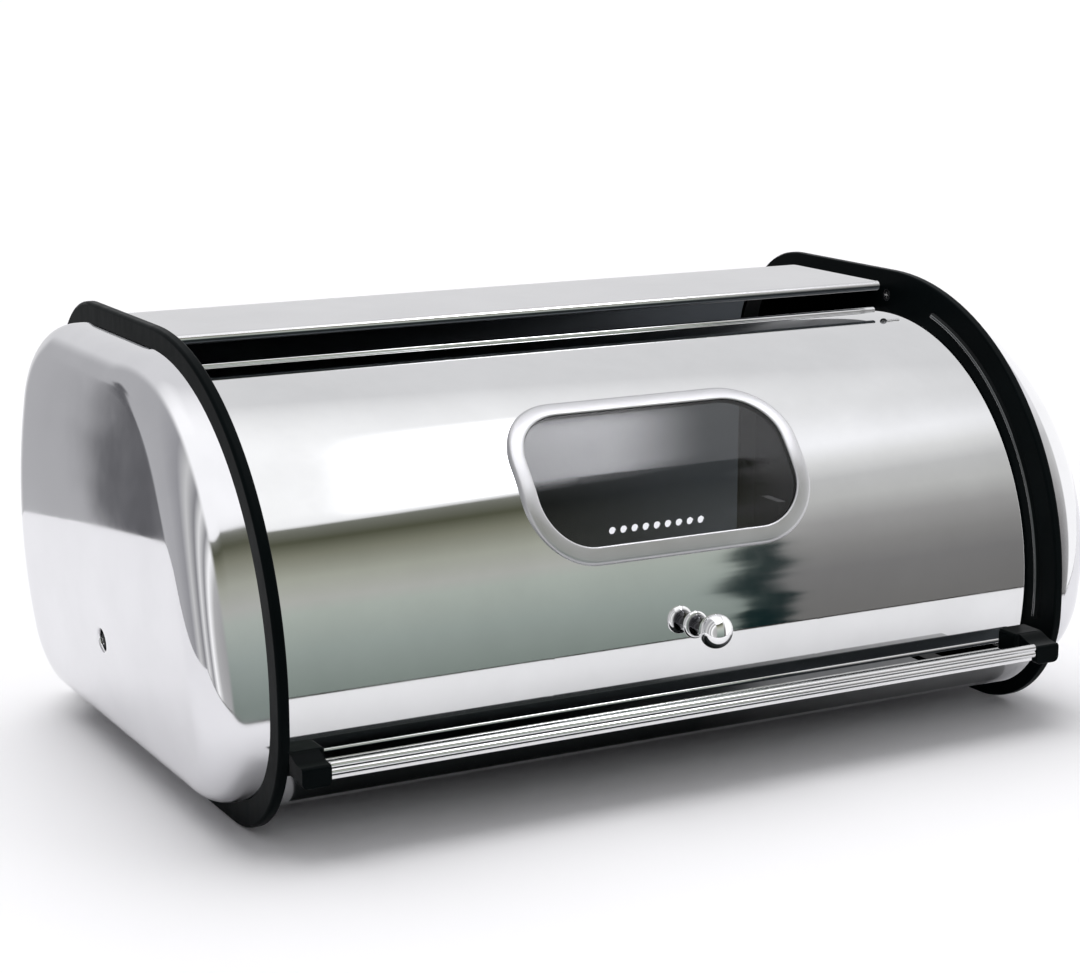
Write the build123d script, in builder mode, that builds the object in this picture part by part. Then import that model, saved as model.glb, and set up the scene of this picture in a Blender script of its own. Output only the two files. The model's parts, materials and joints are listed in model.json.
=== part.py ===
from build123d import *
import math
import os

# Roll-top bread box, all in millimetres: X runs across, -Y is the front, Z is up.
# The origin is on the table, under the middle of the whole box with its knob.

# Ends: the outline of the two end frames, seen from the side
height = 186.0
arc_radius = 128.0
low_front_radius = 50.0
high_rear_radius = 45.0
low_rear_radius = 14.0
rear_reach = 123.0
frame_half = 185.5
frame_thick = 4.5
wall_face = frame_half - frame_thick
rim_round = 1.4
wall_round = 0.8

# Lid: a sheet rolled about the pivot line, from its lower edge up and back
sheet = 0.8
lid_radius = 108.0
lid_low = -13.5
lid_high = 96.0
lid_half = 179.9
lid_travel = 85.0
low_bead_radius = 1.2
low_bead_proud = 0.6
high_bead_radius = 1.5
high_bead_proud = 1.8

# Knob
knob_angle = 4.0
knob_length = 35.0
ball_radius = 7.1
ball_half = 6.2
knob_base = 5.8
knob_collar = 5.7
knob_waist = 3.4
knob_flange = 1.8
knob_shoulder = 1.0
knob_waist_low = 7.4
knob_collar_low = 12.0
knob_collar_high = 14.4
knob_collar_round = 0.9
knob_waist_high = 18.4
knob_root = -0.4
ball_sweep = 146.0
knob_bore = 13.0
knob_screw_radius = 2.0
knob_screw_head = 3.5
knob_washer_radius = 5.0

# The pivot line, which is also the centre of the front arc
knob_reach = (lid_radius + knob_length - ball_half) * math.cos(math.radians(knob_angle))
knob_tip = math.hypot(
    ball_half * math.cos(math.radians(knob_angle)),
    ball_radius * math.sin(math.radians(knob_angle)),
)
pivot_y = (knob_reach + knob_tip - rear_reach) / 2
pivot_z = height - arc_radius

# Shell: the sheet that wraps the top, the back and the bottom, set in from the frames
shell_inset = 6.4
shell_lip = 30.6
groove_depth = 1.8
groove_gap = 0.1
hem_radius = 2.2
hem_y = pivot_y + 10.2
hem_sink = 0.3
hem_gap = 0.4
flange_thick = 2.3
flange_reach = 9.0
flange_lip = 20.0

# Vent holes, a row low in the back at each side
vent_count = 9
vent_pitch = 6.6
vent_diameter = 3.9
vent_x = 123.6
vent_z = 45.0

# Rivets that hold the shell to the frames
rivet_radius = 1.6
rivet_head_radius = 3.2
rivet_head = 1.0
rivet_bulb_radius = 2.6
rivet_bulb = 1.4
rivet_x = wall_face - 4.5
rivet_spots_bottom = (pivot_y - 62.0, pivot_y + 84.0)
rivet_spots_back = (36.0, 122.0)

# End caps
cap_inset = 9.0
cap_floor_inset = 11.0
cap_low_rear = 30.0
cap_bulge = 27.0
cap_crown = 350.0
cap_edge = 16.0
cap_sheet = 1.0
cap_seat = 1.0
cap_flange = 9.0
cap_hole = 4.75
cap_lip_reach = 5.4

# Screws from inside, through the frame into the cap's turned-in flange
cap_screw_radius = 1.5
cap_screw_head = 2.9
cap_screw_length = 7.0
cap_screw_spots = (
    (pivot_y + 2.5, height - 12.0),
    (pivot_y + 62.0, height - 14.5),
    (pivot_y + 109.0, 36.0),
    (pivot_y - 84.0, 17.5),
)

# Pivots
pivot_radius = 2.5
pivot_clearance = 0.05
boss_radius = 8.0
boss_height = 6.0
rib_count = 6
rib_reach = 36.0
rib_thick = 1.6
rib_height = 4.0
washer_thick = 1.0
washer_radius = 6.5
hub_radius = 9.0
hub_inner = 172.0
nut_across = 8.0
nut_thick = 4.6
screw_head_radius = 4.6
screw_head = 3.0

# Cheeks: the sector plates that carry the lid's ends
cheek_inner = 177.4
cheek_radius = lid_radius - sheet - 0.05
cheek_rim = 2.2
cheek_rim_reach = 9.0
cheek_rib = 1.4
cheek_rib_reach = 3.0
cheek_low = lid_low + 0.9
cheek_high = lid_high - 1.2

# Guard rib and open stop on the frames' inner walls
guard_inner = 115.2
guard_outer = 117.2
guard_height = 1.7
guard_low = -6.5
guard_high = 73.0
stop_inner = 84.0
stop_outer = 100.0
stop_height = 4.4
stop_span = 4.5
stop_gap = 0.4

# Window, measured across and up the lid
window_x = 5.5
window_angle = 38.0
window_wide = 137.0
window_tall = 74.4
window_corner = 29.0
bezel_width = 6.9
bezel_thick = 1.6
cutout_inset = 5.0
pane_proud = 0.9
pane_gap = 0.1
retainer_thick = 1.6
retainer_inset = 1.0
retainer_width = 6.5

# Front rail and the stop blocks at its ends
rail_half = 167.0
rail_front = pivot_y - 133.4
rail_back = pivot_y - 109.8
bead_radius = 1.45
bead_high = 36.6
bead_pitch = 2.75
bead_overlap = 0.35
block_inner = 164.5
block_outer = 178.4
block_nose = pivot_y - 122.0
block_top = 40.3
block_round = 1.2
block_gap = 0.5
arm_top = 36.2
hook_inner = rail_half + 0.1
hook_outer = 179.2
hook_front = pivot_y - 134.0
hook_low = 28.9
hook_top = 37.4
hook_thick = 4.4
hook_bend = 6.0
hook_round = 1.6
hook_corner = 3.2
seat_inner = 97.0
seat_outer = 105.4
seat_low = 25.0
seat_start = rail_half + 0.6
seat_rise = 3.0
seat_leg = 1.7
peg_radius = 1.7
peg_reach = 2.6
peg_spot = (pivot_y - 116.0, 33.8)

# Reach of the cutters that make holes, well past any sheet
drill = 24.0

os.makedirs("parts", exist_ok=True)


def save(piece, name):
    """Labels a finished piece and writes it as its own file."""
    piece.label = name
    export_step(piece, f"parts/{name}.step")


def save_pair(piece, name):
    """Writes a right-hand piece and its mirror image at the left."""
    save(piece, f"right_{name}")
    save(mirror(piece, about=Plane.YZ), f"left_{name}")


def end_outline(inset, floor_inset=None, low_rear=None):
    """Closed outline of a box end, set in from the frame's rim."""
    floor = inset if floor_inset is None else floor_inset
    corner = low_rear_radius - inset if low_rear is None else low_rear
    front = pivot_y - arc_radius + inset
    back = pivot_y + rear_reach - inset
    top = height - inset
    low_front = low_front_radius - inset
    high_rear = high_rear_radius - inset
    with BuildLine() as outline:
        CenterArc((pivot_y, pivot_z), arc_radius - inset, 90, 90)
        Line((front, pivot_z), (front, floor + low_front))
        CenterArc((front + low_front, floor + low_front), low_front, 180, 90)
        Line((front + low_front, floor), (back - corner, floor))
        CenterArc((back - corner, floor + corner), corner, 270, 90)
        Line((back, floor + corner), (back, top - high_rear))
        CenterArc((back - high_rear, top - high_rear), high_rear, 0, 90)
        Line((back - high_rear, top), (pivot_y, top))
    return outline.line


def shell_section(outer, inner, lip, start=hem_y):
    """Section of a sheet along the top, back and bottom, open at the front above the lip."""
    with BuildSketch() as section:
        add(end_outline(outer))
        make_face()
        with BuildSketch(mode=Mode.SUBTRACT):
            add(end_outline(inner))
            make_face()
        with Locations((start, lip)):
            Rectangle(2 * arc_radius, height, align=(Align.MAX, Align.MIN), mode=Mode.SUBTRACT)
    return section.sketch


def sector(inner, outer, low, high):
    """Ring sector about the pivot; angles are raised from the front level line."""
    with BuildSketch() as piece:
        with BuildLine():
            rim = CenterArc((pivot_y, pivot_z), outer, 180 - high, high - low)
            bore = CenterArc((pivot_y, pivot_z), inner, 180 - high, high - low)
            Line(rim @ 0, bore @ 0)
            Line(rim @ 1, bore @ 1)
        make_face()
    return piece.sketch


def lid_plane(angle, x=0.0, radius=0.0):
    """Plane square to the lid at an angle, with its own x along the box."""
    out = Vector(0, -math.cos(math.radians(angle)), math.sin(math.radians(angle)))
    return Plane(origin=Vector(x, pivot_y, pivot_z) + out * radius, x_dir=(1, 0, 0), z_dir=out)


def window_prism(inset):
    """Rounded block through the lid, set in from the window's outer edge."""
    with BuildPart() as prism:
        with BuildSketch(lid_plane(window_angle, window_x, lid_radius - drill)):
            RectangleRounded(
                window_wide - 2 * inset, window_tall - 2 * inset, window_corner - inset
            )
        extrude(amount=2 * drill)
    return prism.part


def lid_layer(inner, outer):
    """Curved layer of the lid between two radii, wide enough for the window."""
    with BuildPart() as layer:
        with BuildSketch(Plane.YZ):
            add(sector(inner, outer, lid_low + 4, lid_high - 4))
        extrude(amount=window_wide, both=True)
    return layer.part


# End frames: moulded plates with a rim, a groove for the shell and a seat for the cap
with BuildPart() as end_frame:
    with BuildSketch(Plane.YZ.offset(wall_face)):
        add(end_outline(0))
        make_face()
    extrude(amount=frame_thick)
    fillet(end_frame.edges().group_by(Axis.X)[-1], radius=rim_round)
    fillet(end_frame.edges().group_by(Axis.X)[0], radius=wall_round)
    with BuildSketch(Plane.YZ.offset(frame_half - cap_seat)):
        add(end_outline(cap_inset - groove_gap, cap_floor_inset - groove_gap, cap_low_rear))
        make_face()
    extrude(amount=cap_seat, mode=Mode.SUBTRACT)
    with BuildSketch(Plane.YZ.offset(wall_face)):
        add(shell_section(shell_inset - groove_gap, shell_inset + sheet + groove_gap, shell_lip))
    extrude(amount=groove_depth, mode=Mode.SUBTRACT)
    with BuildSketch(Plane.YZ.offset(wall_face)):
        add(
            shell_section(
                shell_inset + sheet + groove_gap,
                shell_inset + sheet + groove_gap + flange_thick,
                flange_lip,
                hem_y + hem_radius + hem_gap,
            )
        )
    extrude(amount=-flange_reach)
    with BuildSketch(Plane.YZ.offset(wall_face)):
        add(sector(guard_inner, guard_outer, guard_low, guard_high))
    extrude(amount=-guard_height)
    with BuildSketch(Plane.YZ.offset(wall_face)):
        stop_low = cheek_high + lid_travel + stop_gap
        add(sector(stop_inner, stop_outer, stop_low, stop_low + stop_span))
    extrude(amount=-stop_height)
    with BuildSketch(Plane.YZ.offset(frame_half - cap_seat)):
        with Locations((pivot_y, pivot_z)):
            Circle(boss_radius)
    extrude(amount=boss_height)
    with BuildSketch(Plane.YZ.offset(frame_half - cap_seat)):
        with Locations((pivot_y, pivot_z)):
            with PolarLocations(rib_reach / 2, rib_count, start_angle=30):
                Rectangle(rib_reach, rib_thick)
    extrude(amount=rib_height)
    with Locations(Plane.YZ.offset(wall_face)):
        with Locations((pivot_y, pivot_z)):
            Cylinder(pivot_radius, drill, mode=Mode.SUBTRACT)
    with Locations(Plane.YZ.offset(wall_face)):
        with Locations(*cap_screw_spots):
            Cylinder(cap_screw_radius, drill, mode=Mode.SUBTRACT)
            Cone(
                cap_screw_head,
                cap_screw_radius,
                cap_screw_head - cap_screw_radius,
                align=(Align.CENTER, Align.CENTER, Align.MIN),
                mode=Mode.SUBTRACT,
            )
    with Locations(Plane.YZ.offset(wall_face)):
        with Locations(peg_spot):
            Cylinder(
                peg_radius, peg_reach, align=(Align.CENTER, Align.CENTER, Align.MIN),
                mode=Mode.SUBTRACT,
            )
    for rivet_y in rivet_spots_bottom:
        with Locations((rivet_x, rivet_y, shell_inset)):
            Cylinder(rivet_radius, drill, mode=Mode.SUBTRACT)
    for rivet_z in rivet_spots_back:
        with Locations((rivet_x, pivot_y + rear_reach - shell_inset, rivet_z)):
            Cylinder(rivet_radius, drill, rotation=(90, 0, 0), mode=Mode.SUBTRACT)
save_pair(end_frame.part, "end_frame")


def cap_solid(inset):
    """Solid dome on the cap outline, crowned and rounded over, set in by a wall."""
    with BuildPart() as dome:
        with BuildSketch(Plane.YZ.offset(frame_half - cap_seat + inset)):
            add(end_outline(cap_inset + inset, cap_floor_inset + inset, cap_low_rear - inset))
            make_face()
        extrude(amount=cap_bulge + drill)
        with Locations((frame_half + cap_bulge - cap_crown, pivot_y, height / 2)):
            Cylinder(
                cap_crown - inset, 4 * arc_radius, rotation=(90, 0, 0), mode=Mode.INTERSECT
            )
        face = dome.faces().sort_by(Axis.X)[-1]
        fillet(face.edges(), radius=cap_edge - inset)
    return dome.part


# End caps: pressed domes with a turned-in flange and a lipped hole over the pivot
with BuildPart() as hole_lip:
    with BuildSketch(Plane.YZ.offset(frame_half + cap_bulge)):
        with Locations((pivot_y, pivot_z)):
            Circle(cap_hole + cap_sheet)
    extrude(amount=-cap_lip_reach)
    add(cap_solid(0), mode=Mode.INTERSECT)

with BuildPart() as end_cap:
    add(cap_solid(0))
    add(cap_solid(cap_sheet), mode=Mode.SUBTRACT)
    with BuildSketch(Plane.YZ.offset(frame_half - cap_seat)):
        add(
            end_outline(
                cap_inset + cap_flange, cap_floor_inset + cap_flange, cap_low_rear - cap_flange
            )
        )
        make_face()
    extrude(amount=cap_sheet, mode=Mode.SUBTRACT)
    add(hole_lip.part)
    with BuildSketch(Plane.YZ.offset(frame_half + cap_bulge)):
        with Locations((pivot_y, pivot_z)):
            Circle(cap_hole)
    extrude(amount=-cap_lip_reach - 1, mode=Mode.SUBTRACT)
    for spot in cap_screw_spots:
        with BuildSketch(Plane.YZ.offset(frame_half - cap_seat)):
            with Locations(spot):
                Circle(cap_screw_radius)
        extrude(amount=cap_sheet, mode=Mode.SUBTRACT)
save_pair(end_cap.part, "end_cap")

# Cap screws: countersunk self-tapping screws with a cross recess
with BuildPart() as cap_screws:
    for spot in cap_screw_spots:
        seat = Plane.YZ.offset(wall_face)
        with BuildSketch(seat):
            with Locations(spot):
                Circle(cap_screw_head)
        with BuildSketch(seat.offset(cap_screw_head - cap_screw_radius)):
            with Locations(spot):
                Circle(cap_screw_radius)
        loft()
        with BuildSketch(seat.offset(cap_screw_head - cap_screw_radius)):
            with Locations(spot):
                Circle(cap_screw_radius)
        extrude(amount=cap_screw_length)
        with BuildSketch(seat):
            with Locations(spot):
                Rectangle(0.8, 3.2)
                Rectangle(3.2, 0.8)
        extrude(amount=0.9, mode=Mode.SUBTRACT)
save_pair(cap_screws.part, "cap_screws")

# Body shell: one bent sheet with a rolled front hem and two rows of vent holes
with BuildPart() as body_shell:
    with BuildSketch(Plane.YZ):
        add(shell_section(shell_inset, shell_inset + sheet, shell_lip))
    extrude(amount=wall_face + groove_depth, both=True)
    with BuildSketch(Plane.YZ):
        with Locations((hem_y, height - shell_inset - hem_radius + hem_sink)):
            Circle(hem_radius)
    extrude(amount=wall_face - groove_gap, both=True)
    for row_x in (-vent_x, vent_x):
        with Locations((row_x, pivot_y + rear_reach - shell_inset, vent_z)):
            with GridLocations(vent_pitch, 1, vent_count, 1):
                Cylinder(vent_diameter / 2, drill, rotation=(90, 0, 0), mode=Mode.SUBTRACT)
    for rivet_side in (-rivet_x, rivet_x):
        for rivet_y in rivet_spots_bottom:
            with Locations((rivet_side, rivet_y, shell_inset)):
                Cylinder(rivet_radius, drill, mode=Mode.SUBTRACT)
        for rivet_z in rivet_spots_back:
            with Locations((rivet_side, pivot_y + rear_reach - shell_inset, rivet_z)):
                Cylinder(rivet_radius, drill, rotation=(90, 0, 0), mode=Mode.SUBTRACT)
save(body_shell.part, "body_shell")

# Shell rivets: a domed head outside, a shank and a pulled bulb inside the flange
rivet_grip = sheet + groove_gap + flange_thick
with BuildPart() as shell_rivets:
    bottom_spots = [Plane((rivet_x, y, shell_inset)) for y in rivet_spots_bottom]
    back = pivot_y + rear_reach - shell_inset
    back_spots = [
        Plane((rivet_x, back, z), x_dir=(1, 0, 0), z_dir=(0, -1, 0)) for z in rivet_spots_back
    ]
    for spot in bottom_spots + back_spots:
        with BuildSketch(spot):
            Circle(rivet_radius)
        extrude(amount=rivet_grip)
        with BuildSketch(spot):
            Circle(rivet_head_radius)
        extrude(amount=-rivet_head, taper=35)
        with BuildSketch(spot.offset(rivet_grip)):
            Circle(rivet_bulb_radius)
        extrude(amount=rivet_bulb, taper=15)
save_pair(shell_rivets.part, "shell_rivets")

# Front rail: a shelf below the lid's edge, a lip and a double rolled bead
with BuildPart() as front_rail:
    with BuildSketch(Plane.YZ):
        bead_y = rail_front + bead_radius
        bead_low = bead_high - bead_pitch
        with Locations((bead_y + bead_radius - bead_overlap, shell_lip)):
            Rectangle(
                rail_back - bead_y - bead_radius + bead_overlap, sheet, align=(Align.MIN, Align.MIN)
            )
            Rectangle(sheet, bead_high - shell_lip + 0.5, align=(Align.MIN, Align.MIN))
        with Locations((bead_y, bead_high), (bead_y, bead_low)):
            Circle(bead_radius)
    extrude(amount=rail_half, both=True)
save(front_rail.part, "front_rail")

# Stop block hooks: a saddle that sweeps down into a lobe over the rail's end
rail_floor = shell_lip + sheet
with BuildPart() as block_hook:
    with BuildSketch(Plane.YZ.offset(hook_inner)):
        with BuildLine():
            saddle = Bezier(
                (block_nose + hook_bend / 2, block_top),
                (block_nose - hook_bend / 2, block_top),
                (block_nose - hook_bend / 2, hook_top),
                (hook_front + hook_round, hook_top),
            )
            Polyline(
                saddle @ 1, (hook_front, hook_top), (hook_front, hook_low),
                (hook_front + hook_thick, hook_low), (hook_front + hook_thick, rail_floor),
                (rail_back, rail_floor), (rail_back, block_top), saddle @ 0,
            )
        make_face()
    extrude(amount=hook_outer - hook_inner)
    fillet(block_hook.edges().filter_by(Axis.X).group_by(Axis.Y)[0], radius=hook_round - 0.2)
    with BuildSketch(Plane.XZ):
        with Locations(((hook_inner + hook_outer) / 2, hook_low)):
            RectangleRounded(
                hook_outer - hook_inner, block_top, hook_corner, align=(Align.CENTER, Align.MIN)
            )
    extrude(amount=2 * arc_radius, mode=Mode.INTERSECT)

# Stop blocks: each guards the lid's corner, carries its seat and plugs into the frame
with BuildPart() as stop_block:
    with BuildSketch(Plane.XY.offset(rail_floor)):
        with Locations(((block_inner + block_outer) / 2, (block_nose + rail_back) / 2)):
            RectangleRounded(block_outer - block_inner, rail_back - block_nose, block_round + 0.3)
    extrude(amount=block_top - rail_floor)
    fillet(stop_block.edges().group_by(Axis.Z)[-1], radius=block_round)
    add(block_hook.part)
    with BuildSketch(Plane.YZ.offset(seat_start)):
        with Locations((rail_back, rail_floor)):
            Rectangle(
                rail_back - block_nose, arm_top - rail_floor, align=(Align.MAX, Align.MIN)
            )
    extrude(amount=wall_face - seat_start)
    with BuildSketch(Plane.YZ.offset(seat_start)):
        with BuildLine():
            heel = lid_plane(cheek_low, radius=seat_inner).origin
            toe = lid_plane(cheek_low, radius=seat_outer).origin
            Polyline(
                (heel.Y, seat_low), (heel.Y, heel.Z - block_gap), (toe.Y, toe.Z - block_gap),
                (toe.Y, shell_lip), (rail_back, shell_lip), (rail_back, shell_lip + seat_rise),
                (rail_back - seat_leg, shell_lip + seat_rise), (rail_back - seat_leg, seat_low),
                close=True,
            )
        make_face()
    extrude(amount=wall_face - seat_start)
    with BuildSketch(Plane.YZ.offset(wall_face)):
        with Locations(peg_spot):
            Circle(peg_radius)
    extrude(amount=peg_reach)
    with BuildSketch(Plane.YZ.offset(block_inner)):
        add(sector(hub_radius, lid_radius + 0.9, lid_low - 0.4, 20))
    extrude(amount=wall_face - block_inner, mode=Mode.SUBTRACT)
save_pair(stop_block.part, "stop_block")

# Pivots: a shouldered screw from outside, a thrust washer and a lock nut inside
pivot_spot = (pivot_y, pivot_z)
boss_face = frame_half - cap_seat + boss_height
with BuildPart() as pivot_screw:
    with BuildSketch(Plane.YZ.offset(boss_face)):
        with Locations(pivot_spot):
            Circle(screw_head_radius)
    extrude(amount=screw_head)
    fillet(pivot_screw.edges().group_by(Axis.X)[-1], radius=1.4)
    with BuildSketch(Plane.YZ.offset(boss_face + screw_head)):
        with Locations(pivot_spot):
            Rectangle(1.2, 5.2)
            Rectangle(5.2, 1.2)
    extrude(amount=-1.6, mode=Mode.SUBTRACT)
    with BuildSketch(Plane.YZ.offset(boss_face)):
        with Locations(pivot_spot):
            Circle(pivot_radius)
    extrude(amount=-(boss_face - hub_inner + nut_thick + 1.2))
save_pair(pivot_screw.part, "pivot_screw")

with BuildPart() as pivot_washer:
    with BuildSketch(Plane.YZ.offset(wall_face)):
        with Locations(pivot_spot):
            Circle(washer_radius)
            Circle(pivot_radius, mode=Mode.SUBTRACT)
    extrude(amount=-washer_thick)
save_pair(pivot_washer.part, "pivot_washer")

with BuildPart() as pivot_nut:
    nut_face = hub_inner - pivot_clearance
    with BuildSketch(Plane.YZ.offset(nut_face)):
        with Locations(pivot_spot):
            RegularPolygon(nut_across / 2, 6, major_radius=False)
            Circle(pivot_radius, mode=Mode.SUBTRACT)
    extrude(amount=-nut_thick * 0.65)
    with BuildSketch(Plane.YZ.offset(nut_face - nut_thick * 0.65)):
        with Locations(pivot_spot):
            Circle(nut_across / 2 - 0.3)
            Circle(pivot_radius, mode=Mode.SUBTRACT)
    extrude(amount=-nut_thick * 0.35)
save_pair(pivot_nut.part, "pivot_nut")

# Lid panel: the rolled mirror sheet with a bead along each edge and the window's cut-out
with BuildPart() as lid_panel:
    with BuildSketch(Plane.YZ):
        add(sector(lid_radius - sheet, lid_radius, lid_low, lid_high))
        low_bead = lid_plane(lid_low, radius=lid_radius - low_bead_radius + low_bead_proud).origin
        high_bead = lid_plane(
            lid_high, radius=lid_radius - high_bead_radius + high_bead_proud
        ).origin
        with Locations((low_bead.Y, low_bead.Z)):
            Circle(low_bead_radius)
        with Locations((high_bead.Y, high_bead.Z)):
            Circle(high_bead_radius)
    extrude(amount=lid_half, both=True)
    add(window_prism(cutout_inset), mode=Mode.SUBTRACT)
    knob_seat = lid_plane(knob_angle, radius=lid_radius)
    with BuildSketch(knob_seat):
        Circle(knob_screw_radius)
    extrude(amount=-drill, mode=Mode.SUBTRACT)
save(lid_panel.part, "lid_panel")

# Lid cheeks: sector plates with a rim under the sheet, ribs and a hub on the pivot
with BuildPart() as lid_cheek:
    with BuildSketch(Plane.YZ.offset(lid_half)):
        add(sector(hub_radius - 3, cheek_radius, cheek_low, cheek_high))
        with Locations(pivot_spot):
            Circle(hub_radius)
    extrude(amount=cheek_inner - lid_half)
    with BuildSketch(Plane.YZ.offset(cheek_inner)):
        add(sector(cheek_radius - cheek_rim, cheek_radius, cheek_low, cheek_high))
    extrude(amount=-cheek_rim_reach)
    with BuildSketch(Plane.YZ.offset(cheek_inner)):
        cheek_middle = (cheek_low + cheek_high) / 2
        for rib_low in (cheek_low, cheek_middle, cheek_high - cheek_rib):
            add(sector(hub_radius - 1, cheek_radius - 1, rib_low, rib_low + cheek_rib))
    extrude(amount=-cheek_rib_reach)
    with BuildSketch(Plane.YZ.offset(cheek_inner)):
        with Locations(pivot_spot):
            Circle(hub_radius - 1)
    extrude(amount=hub_inner - cheek_inner)
    with BuildSketch(Plane.YZ.offset(frame_half)):
        with Locations(pivot_spot):
            Circle(pivot_radius + pivot_clearance)
    extrude(amount=-drill, mode=Mode.SUBTRACT)
save_pair(lid_cheek.part, "lid_cheek")

# Window bezel: a ring proud of the lid, with a rebate over the pane's edge
with BuildPart() as bezel_rebate:
    add(lid_layer(lid_radius - sheet, lid_radius + pane_proud))
    add(window_prism(cutout_inset), mode=Mode.INTERSECT)

with BuildPart() as window_bezel:
    add(lid_layer(lid_radius, lid_radius + bezel_thick))
    add(window_prism(0), mode=Mode.INTERSECT)
    add(window_prism(bezel_width), mode=Mode.SUBTRACT)
    add(bezel_rebate.part, mode=Mode.SUBTRACT)
save(window_bezel.part, "window_bezel")

# Window pane: a curved clear sheet that fills the cut-out, under the bezel's rebate
with BuildPart() as window_pane:
    add(lid_layer(lid_radius - sheet, lid_radius + pane_proud))
    add(window_prism(cutout_inset + pane_gap), mode=Mode.INTERSECT)
save(window_pane.part, "window_pane")

# Window retainer: the dark ring that holds the pane from inside
with BuildPart() as window_retainer:
    add(lid_layer(lid_radius - sheet - retainer_thick, lid_radius - sheet))
    add(window_prism(retainer_inset), mode=Mode.INTERSECT)
    add(window_prism(retainer_inset + retainer_width), mode=Mode.SUBTRACT)
save(window_retainer.part, "window_retainer")

# Knob: turned from bar, with a flange, two waists, a collar and a flattened ball
knob_axis = Axis(knob_seat.origin, knob_seat.z_dir)
with BuildPart() as knob:
    with BuildSketch(Plane(knob_seat.origin, x_dir=knob_seat.z_dir, z_dir=(1, 0, 0))):
        with BuildLine():
            ball = EllipticalCenterArc(
                (knob_length - ball_half, 0), ball_half, ball_radius, 0, arc_size=ball_sweep
            )
            collar_edge = knob_collar - knob_collar_round
            collar_middle = (knob_collar_low + knob_collar_high) / 2
            neck = ThreePointArc(
                ball @ 1, (knob_waist_high, knob_waist), (knob_collar_high, collar_edge)
            )
            collar = ThreePointArc(
                neck @ 1, (collar_middle, knob_collar), (knob_collar_low, collar_edge)
            )
            waist = ThreePointArc(
                collar @ 1,
                (knob_waist_low, knob_waist),
                (knob_flange + knob_shoulder, knob_base - knob_shoulder),
            )
            Polyline(
                waist @ 1, (knob_flange, knob_base), (knob_root, knob_base), (knob_root, 0), ball @ 0
            )
        make_face()
    revolve(axis=knob_axis)
    with BuildSketch(Plane.YZ.offset(-2 * knob_base)):
        with Locations(pivot_spot):
            Circle(lid_radius)
    extrude(amount=4 * knob_base, mode=Mode.SUBTRACT)
    with BuildSketch(knob_seat.offset(-1)):
        Circle(knob_screw_radius)
    extrude(amount=knob_bore + 1, mode=Mode.SUBTRACT)
save(knob.part, "knob")

# Knob washer: flat inside, curved outside to sit against the lid panel
washer_seat = knob_seat.offset(-sheet - washer_thick)
with BuildPart() as knob_washer:
    with BuildSketch(washer_seat):
        Circle(knob_washer_radius)
        Circle(knob_screw_radius, mode=Mode.SUBTRACT)
    extrude(amount=2 * washer_thick)
    with BuildSketch(Plane.YZ):
        add(sector(lid_radius - 10, lid_radius - sheet, knob_angle - 10, knob_angle + 10))
    extrude(amount=2 * knob_washer_radius, both=True, mode=Mode.INTERSECT)
save(knob_washer.part, "knob_washer")

# Knob screw: a pan head inside the lid, with its shank up the knob's bore
with BuildPart() as knob_screw:
    with BuildSketch(washer_seat):
        Circle(knob_screw_head)
    extrude(amount=-knob_screw_head * 0.75)
    fillet(knob_screw.edges().sort_by(knob_axis)[0], radius=1.2)
    with BuildSketch(washer_seat.offset(-knob_screw_head * 0.75)):
        Rectangle(1.0, 3.8)
        Rectangle(3.8, 1.0)
    extrude(amount=1.3, mode=Mode.SUBTRACT)
    with BuildSketch(washer_seat):
        Circle(knob_screw_radius)
    extrude(amount=knob_bore)
save(knob_screw.part, "knob_screw")
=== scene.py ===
import json
import math

import bmesh
import bpy
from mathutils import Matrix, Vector


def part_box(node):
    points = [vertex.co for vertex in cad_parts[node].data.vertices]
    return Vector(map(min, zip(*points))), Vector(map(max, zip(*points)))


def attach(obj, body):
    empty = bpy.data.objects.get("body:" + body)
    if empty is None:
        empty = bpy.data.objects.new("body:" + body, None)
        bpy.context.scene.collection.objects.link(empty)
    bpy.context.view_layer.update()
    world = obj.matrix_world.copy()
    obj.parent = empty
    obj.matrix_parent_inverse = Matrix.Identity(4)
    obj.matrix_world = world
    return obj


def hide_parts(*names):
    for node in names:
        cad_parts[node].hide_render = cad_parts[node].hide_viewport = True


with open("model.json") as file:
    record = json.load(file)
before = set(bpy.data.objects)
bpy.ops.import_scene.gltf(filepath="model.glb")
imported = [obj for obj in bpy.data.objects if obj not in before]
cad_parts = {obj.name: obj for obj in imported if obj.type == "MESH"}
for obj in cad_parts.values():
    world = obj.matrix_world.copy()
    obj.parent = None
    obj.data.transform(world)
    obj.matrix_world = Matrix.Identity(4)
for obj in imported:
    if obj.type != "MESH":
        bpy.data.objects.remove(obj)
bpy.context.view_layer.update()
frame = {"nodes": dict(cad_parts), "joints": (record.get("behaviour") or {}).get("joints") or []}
nodes = frame["nodes"]

# Driving sizes, in metres, with the pivot line read from the frame
pivot_y, pivot_z = frame["joints"][0]["pos_m"][1:]
lid_radius = 0.108
sheet = 0.0008
lid_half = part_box("lid_panel")[1].x
lid_low = math.radians(-13.5)
lid_high = math.radians(96.0)
low_bead_radius, low_bead_proud, low_bead_crease = 0.0012, 0.0006, 78
high_bead_radius, high_bead_proud, high_bead_crease = 0.0015, 0.0018, 200

window_x = 0.0055
window_angle = math.radians(38.0)
window_wide, window_tall, window_corner = 0.137, 0.0744, 0.029
bezel_width, bezel_thick = 0.0069, 0.0016
cutout_inset = 0.005
pane_proud, pane_gap = 0.0009, 0.0001

knob_angle = math.radians(4.0)
knob_length = 0.035
ball_radius, ball_half = 0.0071, 0.0062
knob_base, knob_collar = 0.0058, 0.0057
knob_flange, knob_neck = 0.002, 0.0238
# Below this radius the knob's waists get painted shade, full at this depth
waist_shade_radius, waist_shade_depth = knob_base - 0.0006, 0.0011

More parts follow.
